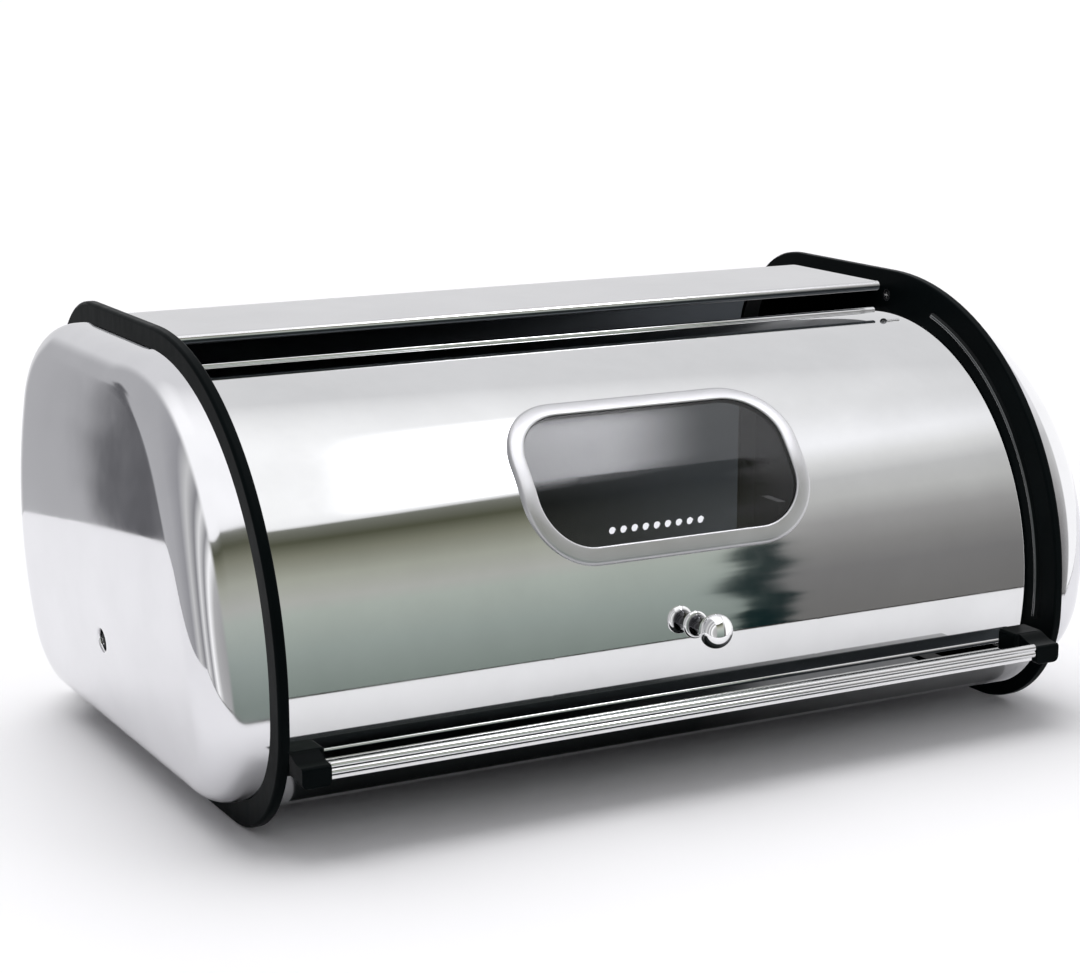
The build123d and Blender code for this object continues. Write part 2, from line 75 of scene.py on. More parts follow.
rib_low, rib_high = math.radians(-6.2), math.radians(72.7)
rib_middle, rib_face, crest_radius = 0.1162, 0.1794, 0.0007

cap_seat_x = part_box("right_end_cap")[0].x
cap_top_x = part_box("right_end_cap")[1].x
cap_front, cap_back = -0.119, 0.114
cap_floor, cap_top = 0.011, 0.177
cap_arc, cap_front_low, cap_rear_low, cap_rear_high = 0.119, 0.041, 0.030, 0.036
cap_edge, cap_crown, cap_sheet, cap_flange = 0.016, 0.350, 0.001, 0.009
cap_middle_z = 0.093
cap_hole, cap_hole_round, cap_lip_depth = 0.00475, 0.0010, 0.0022


# Mesh building


def make_object(name, verts, faces, body, material, replaced=(), closed=True):
    """Smooth-shaded mesh object in the row frame that rides on a CAD body."""
    mesh = bpy.data.meshes.new(name)
    mesh.from_pydata([tuple(v) for v in verts], [], faces)
    mesh.validate()
    if closed:
        shell = bmesh.new()
        shell.from_mesh(mesh)
        bmesh.ops.recalc_face_normals(shell, faces=shell.faces)
        shell.to_mesh(mesh)
        shell.free()
    for face in mesh.polygons:
        face.use_smooth = True
    piece = bpy.data.objects.new(name, mesh)
    bpy.context.scene.collection.objects.link(piece)
    mesh.materials.append(material)
    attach(piece, body)
    if replaced:
        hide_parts(*replaced)
    return piece


def bridge(rows, closed=False):
    """Quads between successive rows of vertex numbers; closed joins each row's ends."""
    faces = []
    for low, high in zip(rows, rows[1:]):
        count = len(low)
        for i in range(count if closed else count - 1):
            j = (i + 1) % count
            faces.append((low[i], low[j], high[j], high[i]))
    return faces


def grid_rows(count_rows, count_columns):
    """Vertex numbers of a grid written row by row."""
    return [
        list(range(r * count_columns, (r + 1) * count_columns)) for r in range(count_rows)
    ]


def sharpen(piece, degrees=35.0):
    """Marks the edges over an angle as sharp, so that flats and rounds shade apart."""
    limit = math.radians(degrees)
    piece.data.set_sharp_from_angle(angle=limit)


def on_lid(angle, radius, x=0.0):
    """Point at an angle up the lid from the level line, and a distance from the pivot line."""
    return Vector((x, pivot_y - radius * math.cos(angle), pivot_z + radius * math.sin(angle)))


def on_window(across, up, radius):
    """Point over the window's own plane, given across and up it, at a radius from the pivot."""
    depth = math.sqrt(radius * radius - up * up)
    out = Vector((0, -math.cos(window_angle), math.sin(window_angle)))
    rise = Vector((0, math.sin(window_angle), math.cos(window_angle)))
    centre = Vector((window_x, pivot_y, pivot_z))
    return centre + Vector((across, 0, 0)) + rise * up + out * depth


def rounded_rectangle(inset, corner_steps=20, long_steps=30, short_steps=8):
    """Points round the window's outline, set in from its outer edge."""
    radius = window_corner - inset
    half_x = window_wide / 2 - window_corner
    half_y = window_tall / 2 - window_corner
    points = []
    corners = ((half_x, half_y, 0), (-half_x, half_y, 90), (-half_x, -half_y, 180),
               (half_x, -half_y, 270))
    for index, (cx, cy, start) in enumerate(corners):
        for step in range(corner_steps + 1):
            turn = math.radians(start + 90 * step / corner_steps)
            points.append((cx + radius * math.cos(turn), cy + radius * math.sin(turn)))
        nx, ny, nstart = corners[(index + 1) % 4]
        turn = math.radians(nstart)
        last = points[-1]
        first = (nx + radius * math.cos(turn), ny + radius * math.sin(turn))
        steps = long_steps if index % 2 == 0 else short_steps
        for step in range(1, steps):
            part = step / steps
            points.append(
                (last[0] + (first[0] - last[0]) * part, last[1] + (first[1] - last[1]) * part)
            )
    return points


# Materials

# Shared textures: noise scales in cycles per metre, heights in metres
smudge_scale, hairline_scale, wave_scale = 24.0, 900.0, 9.0
hairline_height = 0.0000012
along_box = (0.02, 1, 1)
wave_stretch = (0.35, 1, 1)


def new_material(name, base, metallic=0.0, roughness=0.4):
    """Principled material; returns the material, its tree and its shader node."""
    material = bpy.data.materials.new(name)
    material.use_nodes = True
    shader = material.node_tree.nodes["Principled BSDF"]
    shader.inputs["Base Color"].default_value = (*base, 1.0)
    shader.inputs["Metallic"].default_value = metallic
    shader.inputs["Roughness"].default_value = roughness
    return material, material.node_tree, shader


def noise_node(tree, scale, detail=2.0, rough=0.5, stretch=(1, 1, 1)):
    """Noise in the object's own metres, stretched along its axes."""
    place = tree.nodes.new("ShaderNodeTexCoord")
    mapping = tree.nodes.new("ShaderNodeMapping")
    mapping.inputs["Scale"].default_value = stretch
    texture = tree.nodes.new("ShaderNodeTexNoise")
    texture.inputs["Scale"].default_value = scale
    texture.inputs["Detail"].default_value = detail
    texture.inputs["Roughness"].default_value = rough
    tree.links.new(place.outputs["Object"], mapping.inputs["Vector"])
    tree.links.new(mapping.outputs["Vector"], texture.inputs["Vector"])
    return texture.outputs["Fac"]


def remap(tree, value, low, high, start=0.3, end=0.7):
    """Stretches a noise value's middle to a wanted range."""
    node = tree.nodes.new("ShaderNodeMapRange")
    node.inputs["From Min"].default_value = start
    node.inputs["From Max"].default_value = end
    node.inputs["To Min"].default_value = low
    node.inputs["To Max"].default_value = high
    tree.links.new(value, node.inputs["Value"])
    return node.outputs["Result"]


def tint(tree, value, dark, light):
    """Colour between two tones by a value."""
    node = tree.nodes.new("ShaderNodeMix")
    node.data_type = "RGBA"
    node.inputs["A"].default_value = (*dark, 1.0)
    node.inputs["B"].default_value = (*light, 1.0)
    tree.links.new(value, node.inputs["Factor"])
    return node.outputs["Result"]


def bump(tree, shader, layers):
    """Chains bump layers (value, height in metres) into the shader's normal."""
    normal = None
    for value, height in layers:
        node = tree.nodes.new("ShaderNodeBump")
        node.inputs["Strength"].default_value = 1.0
        node.inputs["Distance"].default_value = height
        tree.links.new(value, node.inputs["Height"])
        if normal is not None:
            tree.links.new(normal, node.inputs["Normal"])
        normal = node.outputs["Normal"]
    tree.links.new(normal, shader.inputs["Normal"])


def polished_steel(name, base, rough_low, rough_high, wave, stretch=(1, 1, 1)):
    """Mirror-polished sheet: faint smudges, fine hairlines and a slow wave in the sheet."""
    light = tuple(min(1.0, c * 1.03) for c in base)
    dark = tuple(c * 0.96 for c in base)
    material, tree, shader = new_material(name, base, 1.0, rough_low)
    smudge = noise_node(tree, smudge_scale, 4.0, 0.6)
    hairline = noise_node(tree, hairline_scale, 2.0, 0.5, stretch)
    tree.links.new(
        tint(tree, remap(tree, smudge, 0.0, 1.0), dark, light), shader.inputs["Base Color"]
    )
    tree.links.new(remap(tree, smudge, rough_low, rough_high), shader.inputs["Roughness"])
    slow = noise_node(tree, wave_scale, 1.0, 0.4, wave_stretch)
    bump(tree, shader, [(slow, wave), (hairline, hairline_height)])
    return material


def moulded_plastic(name, base, rough_low=0.30, rough_high=0.42, gloss=0.025):
    """Satin moulded plastic with a fine grain, flow tone and a few dull rub marks."""
    material, tree, shader = new_material(name, base, 0.0, rough_low)
    shader.inputs["Specular IOR Level"].default_value = gloss
    tone = noise_node(tree, 30.0, 3.0)
    grain = noise_node(tree, 2600.0, 1.0)
    rub = noise_node(tree, 55.0, 6.0, 0.7, (1, 3, 1))
    light = tuple(c * 1.6 for c in base)
    tree.links.new(
        tint(tree, remap(tree, tone, 0.0, 1.0), base, light), shader.inputs["Base Color"]
    )
    tree.links.new(remap(tree, rub, rough_low, rough_high), shader.inputs["Roughness"])
    bump(tree, shader, [(grain, 0.000012), (tone, 0.00005)])
    return material


def satin_metal(name, base, rough_low=0.28, rough_high=0.4):
    """Satin, finely blasted metal."""
    material, tree, shader = new_material(name, base, 1.0, rough_low)
    tone = noise_node(tree, 60.0, 4.0)
    grain = noise_node(tree, 3800.0, 1.0)
    light = tuple(min(1.0, c * 1.06) for c in base)
    tree.links.new(
        tint(tree, remap(tree, tone, 0.0, 1.0), base, light), shader.inputs["Base Color"]
    )
    tree.links.new(remap(tree, tone, rough_low, rough_high), shader.inputs["Roughness"])
    bump(tree, shader, [(grain, 0.000008)])
    return material


def clear_plastic(name):
    """Smoke-tinted glossy pane with faint scratches and finger haze."""
    material, tree, shader = new_material(name, (0.86, 0.87, 0.90), 0.0, 0.01)
    shader.inputs["Transmission Weight"].default_value = 1.0
    shader.inputs["IOR"].default_value = 1.37
    haze = noise_node(tree, 40.0, 5.0, 0.65)
    scratch = noise_node(tree, 700.0, 2.0, 0.5, (0.05, 1, 1))
    tree.links.new(remap(tree, haze, 0.0, 0.012), shader.inputs["Roughness"])
    bump(tree, shader, [(scratch, 0.000002)])
    return material


def shell_sheet(name):
    """Bright sheet outside; on the side that faces the box's middle line the sheet is dull and
    its colour is painted near black as painted shade.
    """
    middle_line = (0.0, pivot_y, 0.09)
    material, tree, shader = new_material(name, (0.70, 0.70, 0.71), 1.0, 0.12)
    smudge = noise_node(tree, smudge_scale, 4.0, 0.6)
    hairline = noise_node(tree, hairline_scale, 2.0, 0.5, along_box)
    place = tree.nodes.new("ShaderNodeTexCoord")
    from_middle = tree.nodes.new("ShaderNodeVectorMath")
    from_middle.operation = "SUBTRACT"
    from_middle.inputs[1].default_value = middle_line
    tree.links.new(place.outputs["Object"], from_middle.inputs[0])
    flat = tree.nodes.new("ShaderNodeVectorMath")
    flat.operation = "MULTIPLY"
    flat.inputs[1].default_value = (0.0, 1.0, 1.0)
    tree.links.new(from_middle.outputs["Vector"], flat.inputs[0])
    outward = tree.nodes.new("ShaderNodeVectorMath")
    outward.operation = "DOT_PRODUCT"
    tree.links.new(flat.outputs["Vector"], outward.inputs[0])
    tree.links.new(place.outputs["Normal"], outward.inputs[1])
    outside = remap(tree, outward.outputs["Value"], 0.0, 1.0, -0.005, 0.005)
    bright = tint(tree, remap(tree, smudge, 0.0, 1.0), (0.68, 0.68, 0.69), (0.74, 0.74, 0.75))
    # Faces towards the box's middle line take a near-black colour: painted shade of the box's
    # inside
    side = tree.nodes.new("ShaderNodeMix")
    side.data_type = "RGBA"
    side.inputs["A"].default_value = (0.045, 0.05, 0.055, 1.0)
    tree.links.new(outside, side.inputs["Factor"])
    tree.links.new(bright, side.inputs["B"])
    tree.links.new(side.outputs["Result"], shader.inputs["Base Color"])
    tree.links.new(remap(tree, outside, 0.34, 0.12, 0.0, 1.0), shader.inputs["Roughness"])
    slow = noise_node(tree, wave_scale, 1.0, 0.4, wave_stretch)
    bump(tree, shader, [(slow, 0.0002), (hairline, hairline_height)])
    return material


def turned_chrome(name):
    """Polished chrome with its colour painted near black down in the turned waists, as painted
    shade.
    """
    material, tree, shader = new_material(name, (0.85, 0.85, 0.86), 1.0, 0.02)
    waist_shade = tree.nodes.new("ShaderNodeAttribute")
    waist_shade.attribute_name = "waist_shade"
    smudge = noise_node(tree, 260.0, 3.0, 0.6)
    # Near-black colour down in the turned waists is painted shade
    tree.links.new(
        tint(tree, waist_shade.outputs["Fac"], (0.88, 0.88, 0.89), (0.05, 0.05, 0.055)),
        shader.inputs["Base Color"],
    )
    tree.links.new(remap(tree, smudge, 0.01, 0.05), shader.inputs["Roughness"])
    turning = noise_node(tree, 3000.0, 1.0, 0.4, (0.05, 1, 0.05))
    bump(tree, shader, [(turning, 0.000001)])
    return material


lid_steel = polished_steel("lid_steel", (0.74, 0.745, 0.75), 0.02, 0.06, 0.0003, along_box)
cap_steel = polished_steel("cap_steel", (0.74, 0.74, 0.76), 0.04, 0.09, 0.0003)
shell_steel = shell_sheet("shell_steel_look")
rail_steel = polished_steel(
    "rail_steel_look", (0.74, 0.74, 0.745), 0.06, 0.12, 0.0001, along_box
)
knob_chrome = turned_chrome("knob_chrome")
fastener_steel = satin_metal("fastener_steel_look", (0.6, 0.6, 0.6), 0.22, 0.35)
ring_satin = satin_metal("ring_satin", (0.51, 0.51, 0.525))
black_plastic = moulded_plastic("black_plastic", (0.0016, 0.0027, 0.003))
rib_plastic = moulded_plastic("rib_plastic", (0.02, 0.024, 0.026), 0.06, 0.12, 1.0)
cheek_plastic = moulded_plastic("cheek_plastic", (0.004, 0.005, 0.0055), 0.4, 0.55)
washer_plastic = moulded_plastic("washer_plastic_look", (0.6, 0.58, 0.52))
pane_clear = clear_plastic("pane_clear")


def give(material, *names):
    """Puts a material on CAD nodes that are shown as they are."""
    for name in names:
        for place in nodes[name].material_slots:
            place.material = material


give(black_plastic, "left_end_frame", "right_end_frame", "left_stop_block", "right_stop_block",
     "window_retainer")
give(cheek_plastic, "left_lid_cheek", "right_lid_cheek")
give(shell_steel, "body_shell")
give(rail_steel, "front_rail")
give(fastener_steel, "left_cap_screws", "right_cap_screws", "left_shell_rivets",
     "right_shell_rivets", "left_pivot_screw", "right_pivot_screw", "left_pivot_nut",
     "right_pivot_nut", "knob_washer", "knob_screw")
give(washer_plastic, "left_pivot_washer", "right_pivot_washer")


# Lid sheet: columns of points side by side along the box, parted where they cross the window


def lid_sheet():
    """Mirror sheet with a window cut-out, as one surface with its thickness added after."""
    half_x = window_wide / 2 - cutout_inset
    half_up = window_tall / 2 - cutout_inset
    corner = window_corner - cutout_inset
    straight = half_up - corner

    def edge_angle(across, sign):
        """Lid angle of the cut-out's upper or lower edge at a place across it."""
        over = abs(across) - (half_x - corner)
        up = half_up if over <= 0 else straight + math.sqrt(max(0.0, corner**2 - over**2))
        return window_angle + sign * math.asin(up / lid_radius)

    below, beside, above = 44, 10, 40
    end_column = 0.0001
    corner_steps, middle_steps, side_steps = 16, 24, 30
    columns = []
    left, right = window_x - half_x, window_x + half_x
    for step in range(side_steps + 1):
        columns.append((-lid_half + (left + lid_half) * step / side_steps, "full", -half_x))
    for step in range(1, corner_steps + 1):
        turn = math.pi / 2 * step / corner_steps
        across = -(half_x - corner) - corner * math.cos(turn)
        columns.append((window_x + across, "hole", across))
    for step in range(1, middle_steps):
        across = (half_x - corner) * (2 * step / middle_steps - 1)
        columns.append((window_x + across, "hole", across))
    for step in range(corner_steps, 0, -1):
        turn = math.pi / 2 * step / corner_steps
        across = (half_x - corner) + corner * math.cos(turn)
        columns.append((window_x + across, "hole", across))
    for step in range(side_steps + 1):
        columns.append((right + (lid_half - right) * step / side_steps, "full", half_x))
    # A hair-thin column at each end keeps the turn of the sheet's edge out of the mirror
    columns.insert(1, (-lid_half + end_column, "full", -half_x))
    columns.insert(-1, (lid_half - end_column, "full", half_x))

    verts, column_rows = [], []
    for x, kind, across in columns:
        lower, upper = edge_angle(across, -1), edge_angle(across, 1)
        angles = [lid_low + (lower - lid_low) * i / below for i in range(below + 1)]
        if kind == "full":
            angles += [lower + (upper - lower) * i / beside for i in range(1, beside)]
        angles += [upper + (lid_high - upper) * i / above for i in range(above + 1)]
        start = len(verts)
        verts += [on_lid(a, lid_radius, x) for a in angles]
        column_rows.append((kind, list(range(start, len(verts)))))
    faces = []
    for (kind_a, a), (kind_b, b) in zip(column_rows, column_rows[1:]):
        if kind_a == kind_b == "full":
            faces += bridge([a, b])
            continue
        faces += bridge([a[: below + 1], b[: below + 1]])
        faces += bridge([a[-above - 1:], b[-above - 1:]])
    faces = [tuple(reversed(face)) for face in faces]
    piece = make_object("lid_sheet", verts, faces, "lid", lid_steel,
                        ("lid_panel",), closed=False)
    thick = piece.modifiers.new("thickness", "SOLIDIFY")
    thick.thickness = sheet
    thick.offset = -1.0
    return piece


def lid_bead(name, angle, radius, centre_radius, crease):
    """Rolled bead along an edge of the lid; its crease is at an angle round it, in degrees."""
    turns = 28
    crease_depth, crease_spread = 0.1, 22.0
    verts = []
    for x in (-lid_half, lid_half):
        for step in range(turns):
            turn = 2 * math.pi * step / turns
            off_crease = (math.degrees(turn) - crease) / crease_spread
            dent = 1.0 - crease_depth * math.exp(-off_crease**2)
            spot = on_lid(angle, centre_radius, x)
            verts.append(
                spot + Vector((0, -math.cos(turn), math.sin(turn))) * radius * dent
            )
    rows = grid_rows(2, turns)
    faces = bridge(rows, closed=True) + [tuple(rows[0]), tuple(reversed(rows[1]))]
    piece = make_object(name, verts, faces, "lid", lid_steel)
    sharpen(piece)
    return piece


lid_sheet()
lid_bead("lid_low_bead", lid_low, low_bead_radius,
         lid_radius - low_bead_radius + low_bead_proud, low_bead_crease)
lid_bead("lid_high_bead", lid_high, high_bead_radius,
         lid_radius - high_bead_radius + high_bead_proud, high_bead_crease)


# Window ring and pane


def ring_piece(name, profile, material, replaced):
    """Ring round the window from a closed profile of (inset, height over the lid) pairs."""
    verts = []
    for inset, height in profile:
        outline = rounded_rectangle(inset)
        verts += [on_window(x, y, lid_radius + height) for x, y in outline]
    rows = grid_rows(len(profile), len(outline))
    faces = bridge(rows + [rows[0]], closed=True)
    piece = make_object(name, verts, faces, "lid", material, replaced)
    sharpen(piece, 28)
    return piece


ring_profile = [
    (0.0, 0.0), (0.0, 0.0008), (0.0003, 0.0012), (0.0009, 0.00155), (0.0012, bezel_thick),
    (bezel_width - 0.0009, bezel_thick), (bezel_width - 0.0005, 0.00152),
    (bezel_width - 0.0001, 0.00125), (bezel_width, pane_proud), (cutout_inset, pane_proud),
    (cutout_inset, 0.0),
]
ring_piece("window_ring", ring_profile, ring_satin, ("window_bezel",))


def pane_piece():
    """Curved pane: on each face, rings of its outline that shrink to a middle line."""
    levels = 12
    outline = rounded_rectangle(cutout_inset + pane_gap)
    spine = window_wide / 2 - window_corner
    verts, face_rows = [], []
    for radius in (lid_radius + pane_proud, lid_radius - sheet):
        rows = []
        for level in range(levels + 1):
            share = 1 - level / levels
            row = []
            for x, y in outline:
                middle = max(-spine, min(spine, x))
                row.append(len(verts))
                verts.append(on_window(middle + (x - middle) * share, y * share, radius))
            rows.append(row)
        face_rows.append(rows)
    outer, inner = face_rows
    faces = bridge(outer[::-1] + inner, closed=True)
    piece = make_object("window_clear_pane", verts, faces, "lid", pane_clear,
                        ("window_pane",))
    sharpen(piece)
    return piece


pane_piece()


# Knob, turned from a profile of (distance from the lid, radius)


def arc_points(centre, radius_x, radius_y, start, end, count):
    """Points of an arc of an ellipse, in degrees, along and away from the knob's axis."""
    return [
        (
            centre[0] + radius_x * math.cos(math.radians(start + (end - start) * i / count)),
            centre[1] + radius_y * math.sin(math.radians(start + (end - start) * i / count)),
        )
        for i in range(count + 1)
    ]


def turned_knob():
    """Lathe piece: flange, waist, collar, waist and flattened ball."""
    ball_centre = knob_length - ball_half
    flange_top, collar_top = knob_base - 0.0008, knob_collar - 0.0009
    # Middle along the axis, half length and depth of each turned form
    low_waist, collar = (0.0073, 0.0048, 0.0018), (0.0132, 0.0012, 0.0009)
    high_waist = (0.0190, 0.0046, 0.0016)
    profile = [(-0.0002, 0.0), (-0.0002, knob_base - 0.0003), (0.0002, knob_base)]
    profile += [(0.0015, knob_base), (0.0019, knob_base - 0.0002), (0.0023, flange_top)]
    profile += arc_points((low_waist[0], flange_top), *low_waist[1:], 180, 360, 20)[1:-1]
    profile += arc_points((collar[0], collar_top), *collar[1:], 180, 0, 12)
    profile += arc_points((high_waist[0], collar_top), *high_waist[1:], 180, 340, 20)[1:]
    profile += arc_points((ball_centre, 0.0), ball_half, ball_radius, 147, 0, 36)
    seat = on_lid(knob_angle, lid_radius)
    out = Vector((0, -math.cos(knob_angle), math.sin(knob_angle)))
    side = Vector((1, 0, 0))
    up = out.cross(side)
    turns = 72
    verts, rows = [], []
    for along, radius in profile:
        row = []
        for step in range(turns):
            turn = 2 * math.pi * step / turns
            row.append(len(verts))
            verts.append(
                seat + out * along + (side * math.cos(turn) + up * math.sin(turn)) * radius
            )
        rows.append(row)
    piece = make_object("turned_knob", verts, bridge(rows, closed=True), "lid",
                        knob_chrome, ("knob",))
    # Share of painted shade at each point, deepest down in the turned waists
    waist_shade = piece.data.attributes.new("waist_shade", "FLOAT", "POINT")
    for number, vertex in enumerate(waist_shade.data):
        along, radius = profile[number // turns]
        deep = max(0.0, min(1.0, (waist_shade_radius - radius) / waist_shade_depth))
        vertex.value = deep if knob_flange < along < knob_neck else 0.0
    sharpen(piece, 40)
    return piece


knob_piece = turned_knob()


# End caps: smooth pressed domes with a turned-in flange and a rolled hole


def cap_rim(inset):
    """Cap outline, set in, as (y from the pivot line, z, way out); the count never changes."""
    corners = (
        (0.0, pivot_z, cap_arc, 90, 180, 64),
        (cap_front + cap_front_low, cap_floor + cap_front_low, cap_front_low, 180, 270, 28),
        (cap_back - cap_rear_low, cap_floor + cap_rear_low, cap_rear_low, 270, 360, 24),
        (cap_back - cap_rear_high, cap_top - cap_rear_high, cap_rear_high, 0, 90, 28),
    )
    straights = (2, 24, 14, 16)
    points = []
    for index, (corner, straight) in enumerate(zip(corners, straights)):
        y, z, radius, start, end, steps = corner
        for step in range(steps + 1):
            turn = math.radians(start + (end - start) * step / steps)
            points.append((
                y + (radius - inset) * math.cos(turn), z + (radius - inset) * math.sin(turn), turn
            ))
        following = corners[(index + 1) % len(corners)]
        turn = math.radians(following[3])
        reach = following[2] - inset
        first = (following[0] + reach * math.cos(turn), following[1] + reach * math.sin(turn))
        last = points[-1]
        for step in range(1, straight):
            part = step / straight
            points.append((
                last[0] + (first[0] - last[0]) * part, last[1] + (first[1] - last[1]) * part, turn
            ))
    return points


def end_cap(name, side, replaced):
    """Dome as rings from the hole's lip out to the rim and in along the flange."""
    axis_x = cap_top_x - cap_crown
    inner = cap_rim(cap_edge)
    count = len(inner)
    fillet = []
    for y, z, turn in inner:
        ball_x = axis_x + math.sqrt((cap_crown - cap_edge) ** 2 - (z - cap_middle_z) ** 2)
        tilt = math.asin((z - cap_middle_z) / (cap_crown - cap_edge))
        fillet.append((
            Vector((ball_x, y, z)), Vector((math.cos(tilt), 0, math.sin(tilt))),
            Vector((0, math.cos(turn), math.sin(turn))),
        ))
    crown_spots = [centre + up * cap_edge for centre, up, _ in fillet]
    hole_ways = [Vector((0, spot.y, spot.z - pivot_z)).normalized() for spot in crown_spots]

    def crown_point(y, z):
        """Point of the crown over a place on the cap's seat."""
        return Vector((axis_x + math.sqrt(cap_crown**2 - (z - cap_middle_z) ** 2), y, z))

    lip_radius = cap_hole + cap_hole_round
    hole_x = crown_point(0, pivot_z).x
    rings = [[
        Vector((hole_x - cap_lip_depth, way.y * cap_hole, pivot_z + way.z * cap_hole))
        for way in hole_ways
    ]]
    lip_steps, rounds = 6, 16
    for step in range(lip_steps + 1):
        turn = math.pi / 2 * step / lip_steps
        radius = lip_radius - cap_hole_round * math.cos(turn)
        drop = cap_hole_round * (1 - math.sin(turn))
        ring = []
        for way in hole_ways:
            spot = crown_point(way.y * radius, pivot_z + way.z * radius)
            ring.append(spot - Vector((drop, 0, 0)))
        rings.append(ring)
    for part in (0.03, 0.08, 0.16, 0.26, 0.36, 0.46, 0.56, 0.66, 0.76, 0.85, 0.93, 0.98):
        ring = []
        for way, spot in zip(hole_ways, crown_spots):
            y = way.y * lip_radius * (1 - part) + spot.y * part
            z = (pivot_z + way.z * lip_radius) * (1 - part) + spot.z * part
            ring.append(crown_point(y, z))
        rings.append(ring)
    for step in range(rounds + 1):
        rings.append([
            centre + up.slerp(out, step / rounds) * cap_edge for centre, up, out in fillet
        ])
    rim = [Vector((cap_seat_x, spot.y, spot.z)) for spot in rings[-1]]
    rings.append([wall_spot.lerp(rim_spot, 0.9) for wall_spot, rim_spot in zip(rings[-1], rim)])
    rings.append(rim)
    turned = cap_rim(cap_flange)
    rings.append([Vector((cap_seat_x, y, z)) for y, z, _ in turned])

    verts = [Vector((side * v.x, v.y + pivot_y, v.z)) for ring in rings for v in ring]
    faces = bridge(grid_rows(len(rings), count), closed=True)
    if side > 0:
        faces = [tuple(reversed(face)) for face in faces]
    piece = make_object(name, verts, faces, "box", cap_steel, (replaced,),
                        closed=False)
    thick = piece.modifiers.new("thickness", "SOLIDIFY")
    thick.thickness = cap_sheet
    thick.offset = -1.0
    sharpen(piece, 50)
    return piece


neighbour_pieces = [
    knob_piece, end_cap("left_cap_dome", -1, "left_end_cap"),
    end_cap("right_cap_dome", 1, "right_end_cap"),
]


# Guard ribs: a rounded glossy crest along the rib beside each edge of the lid


def rib_crest(name, side):
    """Round bead, half sunk in the guard rib, swept about the pivot line."""
    steps, turns = 90, 12
    verts = []
    for step in range(steps + 1):
        angle = rib_low + (rib_high - rib_low) * step / steps
        for turn in range(turns):
            around = 2 * math.pi * turn / turns
            radius = rib_middle + crest_radius * math.cos(around)
            x = rib_face + crest_radius * math.sin(around)
            verts.append(on_lid(angle, radius, side * x))
    rows = grid_rows(steps + 1, turns)
    faces = bridge(rows, closed=True) + [tuple(rows[0]), tuple(reversed(rows[-1]))]
    return make_object(name, verts, faces, "box", rib_plastic)


for side_name, side in (("left", -1), ("right", 1)):
    neighbour_pieces.append(rib_crest(f"{side_name}_rib_crest", side))


# The photo's lid mirrors the studio but not the box's own rim, rail, blocks and knob
for neighbour in ("left_end_frame", "right_end_frame", "left_stop_block", "right_stop_block",
                  "front_rail", "knob_screw", "knob_washer"):
    nodes[neighbour].visible_glossy = False
for piece in neighbour_pieces:
    piece.visible_glossy = False


# Floor, and cards that only the mirrors see


def stage_plane(name, x_low, x_high, y_low, y_high, z, material):
    """Flat stage piece, not part of the object."""
    mesh = bpy.data.meshes.new(name)
    mesh.from_pydata(
        [(x_low, y_low, z), (x_high, y_low, z), (x_high, y_high, z), (x_low, y_high, z)],
        [], [(0, 1, 2, 3)],
    )
    plane = bpy.data.objects.new(name, mesh)
    bpy.context.scene.collection.objects.link(plane)
    mesh.materials.append(material)
    return plane


def dull_material(name, base, roughness):
    """Plain stage material; returns it, its tree and its shader node."""
    material, tree, shader = new_material(name, base, 0.0, roughness)
    shader.inputs["Specular IOR Level"].default_value = 0.1
    return material, tree, shader


table_left, table_right, table_front, table_back, far = -0.62, 3.0, -0.255, 0.50, 30.0
edge_wide, edge_lift = 0.006, 0.0003
shade_left, shade_right, shade_front, shade_back = -0.165, 0.185, -0.150, -0.080
shade_lift = 0.0004
shade_full, shade_none = 0.02, 0.22

floor_material = dull_material("floor_pale", (0.90, 0.895, 0.91), 0.6)[0]
stage_plane("floor", table_left, table_right, table_front, table_back, 0.0, floor_material)

# The floor round the tabletop is seen directly but not in the mirrors, where the studio shows
for name, x_low, x_high, y_low, y_high in (
    ("floor_front", -far, far, -far, table_front), ("floor_back", -far, far, table_back, far),
    ("floor_left", -far, table_left, table_front, table_back),
    ("floor_right", table_right, far, table_front, table_back),
):
    surround = stage_plane(name, x_low, x_high, y_low, y_high, 0.0, floor_material)
    surround.visible_glossy = False

edge_material = dull_material("table_edge", (0.012, 0.008, 0.007), 0.7)[0]
table_edge = stage_plane(
    "table_edge", table_left, table_right, table_front - edge_wide, table_front, edge_lift,
    edge_material,
)

# Depth of the contact shadow that the photo's shell mirrors below the rail, paler to the right
shade_material, shade_tree, shade_shader = dull_material("contact_shade", (0.02, 0.02, 0.02), 0.7)
shade_place = shade_tree.nodes.new("ShaderNodeTexCoord")
shade_split = shade_tree.nodes.new("ShaderNodeSeparateXYZ")
shade_tree.links.new(shade_place.outputs["Object"], shade_split.inputs["Vector"])
paler = remap(shade_tree, shade_split.outputs["X"], 0.0, 1.0, shade_full, shade_none)
shade_tree.links.new(
    tint(shade_tree, paler, (0.03, 0.034, 0.035), (0.6, 0.6, 0.61)),
    shade_shader.inputs["Base Color"],
)
contact_shade = stage_plane(
    "contact_shade", shade_left, shade_right, shade_front, shade_back, shade_lift, shade_material
)
for card in (table_edge, contact_shade):
    card.visible_camera = card.visible_diffuse = False
    card.visible_shadow = card.visible_transmission = False


# Light


def sun_light(name, tilt, irradiance, spread):
    """Wide soft light from above and a little behind, not mirrored in the metal."""
    light = bpy.data.lights.new(name, "SUN")
    light.energy = irradiance
    light.angle = math.radians(spread)
    lamp = bpy.data.objects.new(name, light)
    lamp.rotation_euler = (math.radians(tilt), 0, 0)
    lamp.visible_glossy = False
    bpy.context.scene.collection.objects.link(lamp)
    return lamp


sun_light("rear_softbox", -24.0, 2.05, 60.0)


# Studio round the box, as the mirrors see it: every place in it is a direction, from -1 to 1
# along X (right), Y (back) and Z (up)

